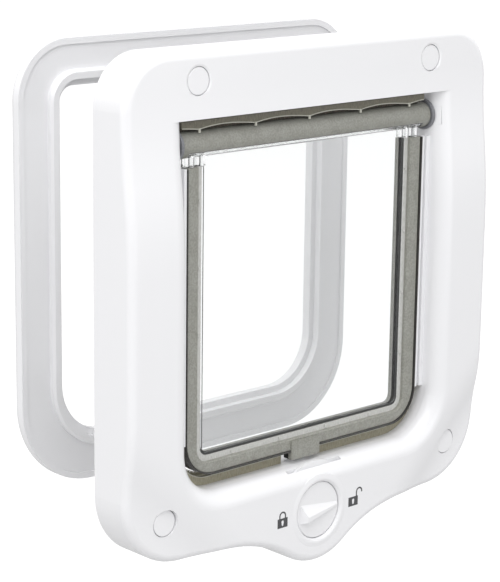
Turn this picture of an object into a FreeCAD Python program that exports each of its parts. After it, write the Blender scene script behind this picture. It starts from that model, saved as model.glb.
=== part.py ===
# Two-way cat flap for a door leaf: a thick inner frame with a clear swinging flap and a
# rotary lock, and a thin outer frame for the far face of the door.
# Millimetres. X runs across the door, +Y from the room side to the outside, +Z up.
# The origin is the centre of the door cut-out, on the door face that carries the inner frame.
import FreeCAD, Part
import math
import os

V = FreeCAD.Vector

# Inner frame, outline and shell
frame_half_width = 125.0
frame_top = 117.0
frame_bottom = -131.0
frame_top_radius = 26.0
frame_bottom_radius = 36.0
frame_depth = 23.0
frame_edge_radius = 4.0
shell_wall = 3.0

# Belly of the front face: it rises below the top and falls back at the two lower corners
belly_height = 5.0
belly_drop = 19.5
belly_rise = 82.0
corner_reach = 55.5
corner_run = 33.2
belly_start = frame_top - belly_drop
belly_full = belly_start - belly_rise
corner_start = (frame_half_width - frame_bottom) / math.sqrt(2.0) - corner_reach

# Passage through the inner frame
side_border = 37.0
top_border = 32.0
bottom_border = 31.0
tunnel_half_width = frame_half_width - side_border
tunnel_top = frame_top - top_border
tunnel_floor = frame_bottom + bottom_border
tunnel_bottom_radius = 24.5
tunnel_wall = 3.0
flare_radius = 8.5
flare_wall = 6.5
jamb_rib_reach = 5.8
jamb_rib_lip = 1.6
jamb_slot = 1.8
jamb_slot_depth = 2.6
jamb_rib_front = -17.0
jamb_rib_back = -13.2

# Hinge line of the flap
hinge_y = -12.3
hinge_drop = 13.0
hinge_z = tunnel_top - hinge_drop
bar_radius = 6.6
bar_end_gap = 0.4
bar_split = 3.5
clear_lip = 1.3
pocket_depth = 3.2
pin_radius = 2.0
pin_in_bar = 6.0
pin_in_bush = 5.5
bush_wall = 2.0
bush_flange = 1.8
bush_flange_radius = 7.0
spigot_radius = 4.7
running_gap = 0.05
seat_gap = 0.02

# Flap
flap_side_gap = 6.6
flap_sill_gap = 7.25
leg_drop = 11.0
flap_half_width = tunnel_half_width - flap_side_gap
flap_bottom = tunnel_floor + flap_sill_gap
leg_top = hinge_z - leg_drop
flap_front = -16.5
rail_thickness = 3.0
panel_thickness = 2.4
leg_width = 7.6
rail_height = 6.2
flap_corner_radius = 18.0
flap_inner_radius = 7.5
rear_leg_width = 12.4
rear_rail_height = 10.4
rear_inner_radius = 4.5
flap_chamfer = 0.6
panel_overlap = 4.4
panel_border = 1.3
panel_border_height = 1.1
panel_rib = 1.6
channel_width = 3.2
gasket_height = 0.9
gasket_nub = 1.3
gasket_nub_rise = 0.8
gasket_pitch = 33.0
tab_half_width = 10.1
tab_drop = 4.65
tab_bottom = flap_bottom - tab_drop
tab_front = -17.7
tab_back = -11.5
tab_root = 5.0
tab_skin = 2.8
magnet_half_width = 7.0
magnet_height = 3.0
magnet_depth = 3.6

# Draught seals
seal_gap = 0.5
seal_base = 1.4
seal_fin = 1.1
seal_rise = 2.0
seal_pitch = 34.2
seal_first_peg = 9.4
seal_depth = 4.6
top_seal_front = -17.6
top_seal_depth = 9.0
seal_tab_gap = 1.4
top_seal_drop = 5.6
seal_peg_drop = 1.8
seal_peg = 1.3
seal_peg_depth = 1.3
bottom_seal_rise = 5.4
side_seal_reach = 5.2

# Lock
knob_drop = 24.0
knob_z = tunnel_floor - knob_drop
knob_radius = 14.9
knob_seat = -25.4
knob_thickness = 1.5
knob_wall = 1.2
knob_gap = 0.35
knob_dish = 4.0
knob_dish_depth = 0.9
disc_bevel = 0.4
ridge_height = 3.9
ridge_tip_height = 0.7
ridge_sink = 0.4
ridge_low = 5.2
ridge_steep = 0.7
ridge_crest = 3.0
ridge_slope = 7.0
ridge_tip_low = 0.4
ridge_left = 12.8
ridge_right = 13.6
ridge_slant = 3.2
shaft_radius = 5.0
shaft_end_radius = 3.6
shaft_flat = 2.8
lock_lift = 4.5
cam_thickness = 2.0
cam_slot_start = 8.0
cam_rim = 2.2
follower_radius = 2.0
follower_gap = 0.25
slide_half_width = 19.0
slide_plate = 1.6
slide_top = tab_bottom - 0.8
slide_arc_radius = 27.5
slide_bottom = knob_z - 14.5
slide_wall = 1.6
slide_gap = 0.3
rear_plate_gap = 1.0
guide_thickness = 2.0
cover_gap = 0.5
cover_thickness = 1.6
cover_half_width = 29.0
cover_screw_x = 25.2
cover_screw_z = knob_z + 3.0
cover_bottom = knob_z - 15.0
cover_top = knob_z + 19.0
cover_radius = 5.0
cover_bottom_radius = 16.0
small_screw_radius = 1.3
small_head_radius = 2.7
small_head_height = 1.5
small_screw_length = 9.0
knob_screw_length = 6.2
screw_tip_gap = 0.5

# Lobe below the frame that carries the lock knob
lobe_reach = 27.5
lobe_bottom = knob_z - lobe_reach
lobe_radius = 34.0
lobe_blend_radius = 80.0

# Fixings of the inner frame
top_screw_inset = 44.8
top_screw_drop = 14.0
bottom_screw_inset = 24.0
bottom_screw_rise = 22.5
cap_radius = 6.6
cap_thickness = 1.9
cap_gap = 0.35
cap_recess = 0.4
cap_dish = 1.4
cap_dish_depth = 0.35
cap_bevel = 0.2
cap_stem_radius = 2.6
boss_wall = 2.4
screw_radius = 2.2
screw_hole_gap = 0.4
screw_head_radius = 4.2
screw_head_height = 2.6
screw_seat = -16.8
screw_length = 38.0

# Outer frame
door_gap = 70.5
outer_inset = 10.0
outer_top_inset = 1.5
outer_half_width = frame_half_width - outer_inset
outer_half_height = frame_top - outer_top_inset
outer_top_radius = 30.0
outer_bottom_radius = 45.0
outer_thickness = 8.0
outer_edge_radius = 4.5
outer_rim = 3.2
outer_dish_depth = 1.0
collar_border = 18.4
collar_top_border = 15.9
collar_bottom_border = 16.9
collar_half_width = outer_half_width - collar_border
collar_top = outer_half_height - collar_top_border
collar_bottom = collar_bottom_border - outer_half_height
collar_wall = 4.6
collar_height = 2.5
collar_chamfer = 1.2
collar_top_radius = 16.0
collar_bottom_radius = 36.0
ledge_width = 3.5
ledge_depth = 1.7

# Round parts that nothing turns in are drawn with this many sides
screw_sides = 16
cap_sides = 24
disc_sides = 48

# Where the seals, the bars and the lock sit
flap_back = flap_front + 2.0 * rail_thickness + panel_thickness
panel_front = flap_front + rail_thickness
slide_front = knob_seat + knob_wall + slide_gap
slide_back = slide_front + slide_plate
cam_front = slide_back + slide_gap
cam_back = cam_front + cam_thickness
rear_plate_front = tab_back + rear_plate_gap
rear_plate_back = rear_plate_front + slide_plate
cover_front = rear_plate_back + cover_gap
cam_radius = cam_slot_start + lock_lift + follower_radius + follower_gap + cam_rim
socket_inner = tunnel_half_width + pocket_depth
bar_half = tunnel_half_width - bush_flange - bar_end_gap
bush_radius = pin_radius + running_gap + bush_wall


def box(x0, x1, y0, y1, z0, z1):
    return Part.makeBox(x1 - x0, y1 - y0, z1 - z0, V(x0, y0, z0))


def cyl_y(x, z, radius, y0, y1):
    return Part.makeCylinder(radius, y1 - y0, V(x, y0, z), V(0, 1, 0))


def cyl_x(y, z, radius, x0, x1):
    return Part.makeCylinder(radius, x1 - x0, V(x0, y, z), V(1, 0, 0))


def cone_y(x, z, r0, r1, y0, y1):
    return Part.makeCone(r0, r1, y1 - y0, V(x, y0, z), V(0, 1, 0))


def ring_solid(rings):
    """Solid with flat faces between rings of points, which run along its axis in order."""
    def flat(points):
        return Part.Face(Part.makePolygon(points + points[:1]))

    faces = [flat(rings[0]), flat(rings[-1][::-1])]
    for a, b in zip(rings, rings[1:]):
        for i in range(len(a)):
            j = (i + 1) % len(a)
            faces.append(flat([a[i], b[i], b[j], a[j]]))
    return Part.Solid(Part.Shell(faces))


def turned_y(x, z, sides, *profile):
    """Round part along Y with flat sides; the profile gives radius and Y, by rising Y."""
    turns = [2.0 * math.pi * i / sides for i in range(sides)]
    return ring_solid([[V(x + r * math.cos(t), y, z + r * math.sin(t)) for t in turns] for r, y in profile])


def turned_x(y, z, sides, *profile):
    """Round part along X with flat sides; the profile gives radius and X, by rising X."""
    turns = [2.0 * math.pi * i / sides for i in range(sides)]
    return ring_solid([[V(x, y + r * math.sin(t), z + r * math.cos(t)) for t in turns] for r, x in profile])


def line(a, b):
    return Part.LineSegment(a, b).toShape()


def arc(a, b, c):
    return Part.Arc(a, b, c).toShape()


def corner(cx, cz, radius, start, end):
    """Arc in the XZ plane about (cx, cz), by angles in degrees."""
    points = []
    for angle in (start, (start + end) / 2.0, end):
        t = math.radians(angle)
        points.append(V(cx + radius * math.cos(t), 0, cz + radius * math.sin(t)))
    return arc(*points)


def round_rect(half_width, z0, z1, r_bottom, r_top):
    """Rectangle about X = 0 in the XZ plane, with one radius below and one above."""
    w = half_width
    edges = [
        line(V(-w + r_bottom, 0, z0), V(w - r_bottom, 0, z0)),
        corner(w - r_bottom, z0 + r_bottom, r_bottom, -90, 0),
        line(V(w, 0, z0 + r_bottom), V(w, 0, z1 - r_top)),
        corner(w - r_top, z1 - r_top, r_top, 0, 90),
        line(V(w - r_top, 0, z1), V(-w + r_top, 0, z1)),
        corner(-w + r_top, z1 - r_top, r_top, 90, 180),
        line(V(-w, 0, z1 - r_top), V(-w, 0, z0 + r_bottom)),
        corner(-w + r_bottom, z0 + r_bottom, r_bottom, 180, 270),
    ]
    return Part.Wire(edges)


def prism_y(wire, y0, y1):
    face = Part.Face(wire)
    face.translate(V(0, y0, 0))
    return face.extrude(V(0, y1 - y0, 0))


def plate(half_width, z0, z1, r_bottom, r_top, y0, y1):
    return prism_y(round_rect(half_width, z0, z1, r_bottom, r_top), y0, y1)


def both_sides(solid):
    """The solid and its mirror image across the door's centre line."""
    return [solid, solid.mirror(V(0, 0, 0), V(1, 0, 0))]


def round_edges(solid, radius, pick):
    """Fillet the edges that pick(edge) accepts."""
    return solid.makeFillet(radius, [edge for edge in solid.Edges if pick(edge)])


def bevel_edges(solid, size, pick):
    """Chamfer the edges that pick(edge) accepts."""
    return solid.makeChamfer(size, [edge for edge in solid.Edges if pick(edge)])


def single(shape):
    """The one solid of a boolean result, with its seams merged."""
    shape = shape.removeSplitter()
    return shape.Solids[0] if len(shape.Solids) == 1 else shape


def frame_outline():
    """Frame outline in the XZ plane, with the lobe blended into the bottom edge."""
    w, top, bottom = frame_half_width, frame_top, frame_bottom
    rt, rb = frame_top_radius, frame_bottom_radius
    lobe_z = lobe_bottom + lobe_radius
    blend_z = bottom - lobe_blend_radius
    blend_x = math.sqrt((lobe_radius + lobe_blend_radius) ** 2 - (blend_z - lobe_z) ** 2)
    tilt = math.degrees(math.atan2(blend_z - lobe_z, blend_x))
    edges = [
        corner(0, lobe_z, lobe_radius, -180 - tilt, tilt),
        corner(blend_x, blend_z, lobe_blend_radius, 180 + tilt, 90),
        line(V(blend_x, 0, bottom), V(w - rb, 0, bottom)),
        corner(w - rb, bottom + rb, rb, -90, 0),
        line(V(w, 0, bottom + rb), V(w, 0, top - rt)),
        corner(w - rt, top - rt, rt, 0, 90),
        line(V(w - rt, 0, top), V(-w + rt, 0, top)),
        corner(-w + rt, top - rt, rt, 90, 180),
        line(V(-w, 0, top - rt), V(-w, 0, bottom + rb)),
        corner(-w + rb, bottom + rb, rb, 180, 270),
        line(V(-w + rb, 0, bottom), V(-blend_x, 0, bottom)),
        corner(-blend_x, blend_z, lobe_blend_radius, 90, -tilt),
    ]
    return Part.Wire(Part.__sortEdges__(edges))


def s_curve(away, run):
    """Share of the belly's height at a distance along a run: an S of two equal arcs."""
    if away <= 0:
        return 0.0
    if away >= run:
        return 1.0
    half = run / 2.0
    rise = belly_height / 2.0
    radius = (half ** 2 + rise ** 2) / (2.0 * rise)
    near = min(away, run - away)
    depth = radius - math.sqrt(radius ** 2 - near ** 2)
    return depth / belly_height if away < half else 1.0 - depth / belly_height


def face_y(x, z):
    """Y of the front face at a place on it."""
    diagonal = (abs(x) - z) / math.sqrt(2.0)
    swell = s_curve(belly_start - z, belly_start - belly_full)
    return -frame_depth - belly_height * (swell - s_curve(diagonal - corner_start, corner_run))


def s_edges(place, y0, y1, run):
    """Two tangent arcs from y0 to y1 over a run; place(t, y) gives the point."""
    half = run / 2.0
    rise = (y1 - y0) / 2.0
    radius = (half ** 2 + rise ** 2) / (2.0 * abs(rise))
    side = 1.0 if rise > 0 else -1.0

    def dip(t):
        return radius - math.sqrt(radius ** 2 - t ** 2)

    quarter = half / 2.0
    first = arc(place(0, y0), place(quarter, y0 + side * dip(quarter)), place(half, y0 + rise))
    second = arc(place(half, y0 + rise), place(run - quarter, y1 - side * dip(quarter)), place(run, y1))
    return [first, second]


def belly_solid(setback):
    """Everything behind the front face, moved back by setback."""
    reach = frame_half_width + 20.0
    flat = -frame_depth + setback
    full = flat - belly_height
    low = lobe_bottom - 30.0
    top = frame_top + 30.0

    def place(t, y):
        return V(-reach, y, belly_full + t)

    edges = [
        line(V(-reach, 1, low), V(-reach, full, low)),
        line(V(-reach, full, low), place(0, full)),
    ]
    edges += s_edges(place, full, flat, belly_start - belly_full)
    edges += [
        line(V(-reach, flat, belly_start), V(-reach, flat, top)),
        line(V(-reach, flat, top), V(-reach, 1, top)),
        line(V(-reach, 1, top), V(-reach, 1, low)),
    ]
    solid = Part.Face(Part.Wire(edges)).extrude(V(2 * reach, 0, 0))
    return solid.cut(corner_tool(1.0, full)).cut(corner_tool(-1.0, full))


def corner_tool(side, full):
    """What is taken off the belly at one lower corner, along the corner's diagonal."""
    along = V(side, 0, -1).normalize()
    across = V(side, 0, 1).normalize()
    base = across * -200.0

    def place(t, y):
        return base + along * (corner_start + t) + V(0, y, 0)

    far = corner_run + 90.0
    flat = full + belly_height
    edges = s_edges(place, full, flat, corner_run)
    edges += [
        line(place(corner_run, flat), place(far, flat)),
        line(place(far, flat), place(far, full - 20)),
        line(place(far, full - 20), place(0, full - 20)),
        line(place(0, full - 20), place(0, full)),
    ]
    return Part.Face(Part.Wire(edges)).extrude(across * 400.0)


def rim_edges(solid, inside):
    """Edges where the front face meets a wall along Y; inside(x, z) says which walls."""
    found = []
    for edge in solid.Edges:
        ends = [v.Point for v in edge.Vertexes]
        if any(abs(p.y - face_y(p.x, p.z)) > 0.02 for p in ends):
            continue
        if not all(inside(p.x, p.z) for p in ends):
            continue
        for face in solid.ancestorsOfType(edge, Part.Face):
            u, v = face.Surface.parameter(ends[0])
            if abs(face.normalAt(u, v).y) < 0.01:
                found.append(edge)
                break
    return found


def frame_skin():
    """The outer form of the inner frame: outline, belly, rounded edge, flared passage."""
    deep = -frame_depth - belly_height - 10.0
    solid = prism_y(frame_outline(), deep, 0).common(belly_solid(0))
    solid = solid.makeFillet(frame_edge_radius, rim_edges(solid, lambda x, z: True))
    w = tunnel_half_width + flare_radius + 3.0
    low = tunnel_floor - flare_radius - 3.0
    zone = box(-w, w, deep, 1, low, tunnel_top)
    hole = plate(tunnel_half_width, tunnel_floor, tunnel_top + 40, tunnel_bottom_radius, 5.0, deep, 1)
    local = solid.common(zone).cut(hole)
    reach = tunnel_half_width + 0.1
    local = local.makeFillet(flare_radius, rim_edges(local, lambda x, z: abs(x) < reach and z > tunnel_floor - 0.1))
    return solid.cut(zone).fuse(local).removeSplitter()


def screw_places():
    top = (frame_half_width - top_screw_inset, frame_top - top_screw_drop)
    low = (frame_half_width - bottom_screw_inset, frame_bottom + bottom_screw_rise)
    return {
        "top_left": (-top[0], top[1]),
        "top_right": top,
        "bottom_left": (-low[0], low[1]),
        "bottom_right": low,
    }


def back_hollow():
    """The room behind the face, open to the door, between the outer wall and the passage."""
    outline = Part.Face(frame_outline()).makeOffset2D(-shell_wall)
    depth = frame_depth + belly_height
    room = outline.extrude(V(0, -depth, 0))
    room = room.common(belly_solid(shell_wall))
    passage = plate(tunnel_half_width + tunnel_wall, tunnel_floor - tunnel_wall, tunnel_top + tunnel_wall,
                    tunnel_bottom_radius + tunnel_wall, 3.0, -60, 1)
    w = tunnel_half_width + flare_wall
    thick = plate(w, tunnel_floor - flare_wall, tunnel_top + tunnel_wall, tunnel_bottom_radius + flare_wall,
                  3.0, -60, slide_back + slide_gap + 2.5)
    return room.cut(passage.fuse(thick))


def stiffeners():
    """Ribs, bosses and blocks that stand in the hollow."""
    parts = []
    half = 1.1
    inner = tunnel_half_width + tunnel_wall - 1.0
    outer = frame_half_width - 1.0
    span = leg_top - tunnel_floor - tunnel_bottom_radius
    bays = math.ceil(span / 25.0)
    for i in range(bays):
        z = leg_top - 11.0 - i * span / bays
        parts += both_sides(box(inner, outer, -40, 0, z - half, z + half))
    for share in (0.32, 0.62):
        x = share * tunnel_half_width
        parts += both_sides(box(x - half, x + half, -40, 0, tunnel_top + 1, frame_top - 1))
    for share in (0.57, 0.84):
        x = share * tunnel_half_width
        parts += both_sides(box(x - half, x + half, -40, 0, frame_bottom + 1, tunnel_floor - 1))
    for x, z in screw_places().values():
        r = cap_radius + cap_gap + boss_wall
        parts.append(turned_y(x, z, screw_sides, (r, -40), (r, 0)))
    block = bush_radius + 3.0
    parts += both_sides(box(inner, socket_inner + pin_in_bush + 3.0, -40, 0, hinge_z - block, hinge_z + block))
    guide = slide_half_width + slide_gap
    parts += both_sides(box(guide, guide + guide_thickness, -40, cover_front, slide_bottom - 4, tunnel_floor - 1))
    r = small_head_radius + 0.8
    parts += both_sides(turned_y(cover_screw_x, cover_screw_z, screw_sides, (r, -40), (r, cover_front)))
    r = knob_radius + knob_gap + knob_wall + 0.8
    parts.append(turned_y(0, knob_z, cap_sides, (r, -40), (r, knob_seat + knob_wall)))
    parts.append(box(-magnet_half_width - 1.6, magnet_half_width + 1.6, cam_back + 0.5,
                     rear_plate_front - slide_gap, tunnel_floor - tunnel_wall - magnet_height, tunnel_floor - 1))
    return parts[0].multiFuse(parts[1:])


def jamb_rib():
    """Upright rib on the right jamb beside the flap, with a slot open to the front."""
    w = tunnel_half_width
    z0 = tunnel_floor + tunnel_bottom_radius
    rib = box(w - jamb_rib_reach, w + 1.0, jamb_rib_front, jamb_rib_back, z0, leg_top)
    x0 = w - jamb_rib_reach + jamb_rib_lip
    slot = box(x0, x0 + jamb_slot, jamb_rib_front - 1, jamb_rib_front + jamb_slot_depth, z0 - 1, leg_top + 1)
    return rib.cut(slot)


def hinge_pocket():
    """Notch for one end of the hinge, open to the front, with the bush socket behind it."""
    r = spigot_radius + seat_gap
    x0 = tunnel_half_width - 1.0
    seat = cyl_x(hinge_y, hinge_z, r, x0, socket_inner)
    way_in = box(x0, socket_inner, -frame_depth - 20.0, hinge_y, hinge_z - r, hinge_z + r)
    bore = cyl_x(hinge_y, hinge_z, bush_radius + seat_gap, socket_inner - 1, socket_inner + pin_in_bush + 0.5)
    return [seat.fuse(way_in), bore]


def lock_cuts():
    """Everything that the lock needs cut out of the frame."""
    hole = shaft_radius + running_gap
    y = face_y(0, knob_z)
    front = y - 2.0
    cuts = [
        cyl_y(0, knob_z, knob_radius + knob_gap, front, knob_seat),
        cone_y(0, knob_z, knob_radius + knob_dish, knob_radius + knob_gap, y, y + knob_dish_depth),
        cyl_y(0, knob_z, hole, front, slide_front),
    ]
    guide = slide_half_width + slide_gap
    low = tunnel_floor - tunnel_wall - 6.0
    cuts.append(box(-guide, guide, slide_front - slide_gap, slide_back + slide_gap, low, tunnel_floor + 20))
    cuts.append(box(-guide, guide, rear_plate_front - slide_gap, rear_plate_back + slide_gap, low, tunnel_floor + 20))
    for x in (-cover_screw_x, cover_screw_x):
        r = small_screw_radius + seat_gap
        tip = cover_front + cover_thickness - small_screw_length
        cuts.append(turned_y(x, cover_screw_z, screw_sides, (r, tip - screw_tip_gap), (r, 1)))
    y = (tab_front + tab_back) / 2.0
    base = tunnel_floor - tunnel_wall
    cuts.append(box(-magnet_half_width - seat_gap, magnet_half_width + seat_gap, y - magnet_depth / 2.0 - seat_gap,
                    y + magnet_depth / 2.0 + seat_gap, base - magnet_height - 1.0, base + 0.6))
    return cuts


def fixing_cuts():
    """Cap seat, dish, head room and clearance hole at each screw."""
    cuts = []
    for x, z in screw_places().values():
        y = face_y(x, z)
        seat = y + cap_recess + cap_thickness
        cuts.append(cyl_y(x, z, cap_radius + cap_gap, y - 8.0, seat))
        cuts.append(cone_y(x, z, cap_radius + cap_dish, cap_radius + cap_gap, y, y + cap_dish_depth))
        cuts.append(cyl_y(x, z, screw_head_radius + screw_hole_gap, seat - 1.0, screw_seat))
        cuts.append(cyl_y(x, z, screw_radius + screw_hole_gap, screw_seat - 1.0, 1.0))
    return cuts


def inner_frame():
    skin = frame_skin()
    hollow = back_hollow()
    keep = stiffeners().common(hollow)
    solid = skin.cut(hollow).fuse([keep] + both_sides(jamb_rib()))
    cuts = lock_cuts() + fixing_cuts()
    for piece in hinge_pocket():
        cuts += both_sides(piece)
    solid = solid.cut(cuts[0].multiFuse(cuts[1:]))
    return single(solid)


def outer_frame():
    """Flat frame for the far face of the door, with a locating collar round its opening."""
    y0 = door_gap
    y1 = door_gap + outer_thickness
    solid = plate(outer_half_width, -outer_half_height, outer_half_height, outer_bottom_radius,
                  outer_top_radius, y0, y1)
    solid = round_edges(solid, outer_edge_radius, lambda e: abs(e.BoundBox.YMin - y1) < 0.01)
    collar = plate(collar_half_width, collar_bottom, collar_top, collar_bottom_radius,
                   collar_top_radius, y0 - collar_height, y0 + 3)
    collar = bevel_edges(collar, collar_chamfer, lambda e: abs(e.BoundBox.YMax - (y0 - collar_height)) < 0.01)
    dish = plate(outer_half_width - outer_rim, -outer_half_height + outer_rim, outer_half_height - outer_rim,
                 outer_bottom_radius - outer_rim, outer_top_radius - outer_rim, y0 - 1, y0 + outer_dish_depth)
    solid = solid.cut(dish.cut(collar)).fuse(collar)
    mouth_w = collar_half_width - collar_wall
    mouth = plate(mouth_w, collar_bottom + collar_wall, collar_top - collar_wall,
                  collar_bottom_radius - collar_wall, collar_top_radius - collar_wall,
                  y0 - collar_height - 1, y0 + ledge_depth)
    w = mouth_w - ledge_width
    step = collar_wall + ledge_width
    opening = plate(w, collar_bottom + step, collar_top - step, collar_bottom_radius - step,
                    collar_top_radius - step, y0 - 5, y1 + 1)
    solid = single(solid.cut(mouth).cut(opening))
    inside = outer_half_width - outer_edge_radius - 1.0
    rim = outer_half_height - outer_edge_radius - 1.0
    return bevel_edges(solid, 1.2, lambda e: abs(e.BoundBox.YMin - y1) < 0.01 and abs(e.BoundBox.YMax - y1) < 0.01
                       and abs(e.BoundBox.Center.x) < inside and abs(e.BoundBox.Center.z) < rim)


def u_band(y0, y1, leg, rail, inner_radius):
    """U-shaped band of the flap, open at the top."""
    outer = plate(flap_half_width, flap_bottom, leg_top + 40, flap_corner_radius, 1.0, y0, y1)
    inner = plate(flap_half_width - leg, flap_bottom + rail, leg_top + 60, inner_radius, 1.0, y0 - 1, y1 + 1)
    band = outer.cut(inner)
    return band.common(box(-200, 200, y0, y1, flap_bottom - 1, leg_top))


def front_band():
    """Front half of the flap's frame, with the skin of the tab below it."""
    band = u_band(flap_front, panel_front, leg_width, rail_height, flap_inner_radius)
    band = bevel_edges(band, flap_chamfer, lambda e: abs(e.BoundBox.YMax - flap_front) < 0.01)
    skin_back = tab_front + tab_skin
    tab = box(-tab_half_width, tab_half_width, tab_front, skin_back, tab_bottom, flap_bottom + tab_root)
    tab = bevel_edges(tab, flap_chamfer, lambda e: abs(e.BoundBox.XMax - e.BoundBox.XMin) < 0.01
                      and e.BoundBox.YMax < tab_front + 0.01)
    return single(band.fuse(tab))


def rear_band():
    """Rear half of the flap's frame; it is wider and shows through the panel."""
    y0 = panel_front + panel_thickness
    band = u_band(y0, flap_back, rear_leg_width, rear_rail_height, rear_inner_radius)
    return single(bevel_edges(band, flap_chamfer, lambda e: abs(e.BoundBox.YMin - flap_back) < 0.01))


def flap_magnet():
    """Magnet block behind the skin of the tab."""
    return box(-tab_half_width, tab_half_width, tab_front + tab_skin, tab_back, tab_bottom, flap_bottom)


def panel_gasket():
    """Soft dark strip with nubs, between the front half of the flap's frame and the panel's border."""
    half = flap_half_width - leg_width
    low = flap_bottom + rail_height
    y0 = panel_front - gasket_height
    outer = plate(half, low, leg_top + 40, flap_inner_radius, 1.0, y0, panel_front)
    inner = plate(half - channel_width, low + channel_width, leg_top + 60, flap_inner_radius - channel_width,
                  1.0, y0 - 1, panel_front + 1)
    strip = outer.cut(inner).common(box(-200, 200, y0, panel_front, low - 1, leg_top))
    nubs = []
    n = gasket_nub / 2.0
    mid = channel_width / 2.0
    for i in range(int((leg_top - low) / gasket_pitch)):
        x = half - mid
        z = leg_top - (i + 0.5) * gasket_pitch
        nubs += both_sides(box(x - n, x + n, y0 - gasket_nub_rise, y0 + 0.2, z - n, z + n))
    for i in range(int((half - flap_inner_radius) / gasket_pitch)):
        x = (i + 0.5) * gasket_pitch
        z = low + mid
        nubs += both_sides(box(x - n, x + n, y0 - gasket_nub_rise, y0 + 0.2, z - n, z + n))
    return single(strip.fuse(nubs))


def split_z():
    return hinge_z - bar_split


def clear_panel():
    """Clear plate with a raised border, and a curved lip that closes the round bar from below."""
    half = flap_half_width - leg_width + panel_overlap
    low = flap_bottom + rail_height - panel_overlap
    y0 = panel_front
    y1 = panel_front + panel_thickness
    plate_top = split_z() - 1.0
    sheet = plate(half, low, plate_top, flap_inner_radius, 1.0, y0, y1)
    shoulder = box(-flap_half_width + 0.6, flap_half_width - 0.6, y0, y1, leg_top + 0.3, plate_top)
    lip = cyl_x(hinge_y, hinge_z, bar_radius, -flap_half_width, flap_half_width)
    lip = lip.cut(cyl_x(hinge_y, hinge_z, bar_radius - clear_lip, -200, 200))
    lip = lip.common(box(-200, 200, -60, y1, hinge_z - 20, split_z()))
    edge = flap_half_width - leg_width - channel_width
    foot = flap_bottom + rail_height + channel_width
    corner = flap_inner_radius - channel_width
    border = plate(edge, foot, leg_top, corner, 1.0, y0 - panel_border_height, y0 + 1)
    inner = plate(edge - panel_border, foot + panel_border, leg_top + 9, corner - panel_border, 1.0,
                  y0 - panel_border_height - 1, y0 + 2)
    solid = sheet.fuse([shoulder, lip, border.cut(inner)])
    ribs = []
    for x in (flap_half_width - leg_width / 2.0, edge):
        rib = box(x - panel_rib / 2.0, x + panel_rib / 2.0, flap_front + 0.4, flap_back - 0.4,
                  leg_top + 0.3, split_z() - 1.0)
        ribs += both_sides(rib)
    return single(solid.fuse(ribs))


def hinge_bar():
    """Upper part of the round bar, which clasps the top of the panel and carries the pins."""
    bar = cyl_x(hinge_y, hinge_z, bar_radius, -bar_half, bar_half)
    keep = box(-flap_half_width, flap_half_width, -60, 20, split_z(), hinge_z + 20)
    ends = both_sides(box(flap_half_width, bar_half, -60, 20, hinge_z - 20, hinge_z + 20))
    solid = bar.common(keep.fuse(ends))
    for hole in both_sides(cyl_x(hinge_y, hinge_z, pin_radius + seat_gap, bar_half - pin_in_bar, bar_half + 1)):
        solid = solid.cut(hole)
    return single(solid)


def hinge_pin():
    return cyl_x(hinge_y, hinge_z, pin_radius, bar_half - pin_in_bar, socket_inner + pin_in_bush)


def hinge_bush():
    """Bush with a round flange on the jamb, a spigot in the notch and a body in the bore behind it."""
    jamb = tunnel_half_width
    end = socket_inner + pin_in_bush + 0.5
    body = turned_x(hinge_y, hinge_z, cap_sides, (bush_flange_radius, jamb - bush_flange),
                    (bush_flange_radius, jamb), (spigot_radius, jamb), (spigot_radius, socket_inner),
                    (bush_radius, socket_inner), (bush_radius, end))
    bore = cyl_x(hinge_y, hinge_z, pin_radius + running_gap, jamb - 5, socket_inner + pin_in_bush + 2)
    return single(body.cut(bore))


def scalloped_fin(knots, y0, y1, z_base, z_low):
    """Upright fin whose free edge climbs in a shallow arc from each knot to the next, and drops there."""
    edges = []
    last = V(knots[0], y0, z_base)
    for a, b in zip(knots, knots[1:]):
        rise = seal_rise * (b - a) / seal_pitch
        start = V(a, y0, z_low)
        tip = V(b, y0, z_low + rise)
        edges += [line(last, start), arc(start, V((a + b) / 2.0, y0, z_low + 0.35 * rise), tip)]
        last = tip
    edges += [line(last, V(knots[-1], y0, z_base)), line(V(knots[-1], y0, z_base), V(knots[0], y0, z_base))]
    return Part.Face(Part.Wire(edges)).extrude(V(0, y1 - y0, 0))


def top_seal():
    """Seal above the bar: a base on the ceiling of the passage, a scalloped fin and its pegs."""
    half = tunnel_half_width - 1.0
    y0 = top_seal_front
    base = box(-half, half, y0, y0 + top_seal_depth, tunnel_top - seal_base, tunnel_top)
    first = half - seal_first_peg
    count = int((first + half - seal_first_peg) / seal_pitch)
    pegs_at = [first - i * seal_pitch for i in range(count + 1)][::-1]
    z_low = tunnel_top - top_seal_drop
    fin = scalloped_fin([-half] + pegs_at + [half], y0, y0 + seal_fin, tunnel_top - 0.2, z_low)
    pegs = [box(x - seal_peg, x, y0 + 0.3, y0 + seal_peg_depth, z_low - seal_peg_drop, tunnel_top - 0.2)
            for x in pegs_at]
    return single(base.fuse([fin] + pegs))


def seal_band(reach, y0, y1):
    """Band of the lower seal that lies along the floor and round both lower corners of the passage."""
    top = tunnel_floor + tunnel_bottom_radius + 2.0
    outer = plate(tunnel_half_width, tunnel_floor, leg_top, tunnel_bottom_radius, 1.0, y0, y1)
    inner = plate(tunnel_half_width - reach, tunnel_floor + reach, leg_top + 9, tunnel_bottom_radius - reach,
                  1.0, y0 - 1, y1 + 1)
    return outer.cut(inner).common(box(-200, 200, y0 - 1, y1 + 1, tunnel_floor - 1, top))


def bottom_seal():
    """Seal on the floor to the right of the lock, carried round the corner."""
    y0 = flap_back + seal_gap
    band = seal_band(seal_base, y0, y0 + seal_depth).fuse(seal_band(bottom_seal_rise, y0, y0 + seal_fin))
    x0 = tab_half_width + seal_tab_gap
    return single(band.common(box(x0, 200, -60, 20, tunnel_floor - 1, leg_top)))


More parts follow.
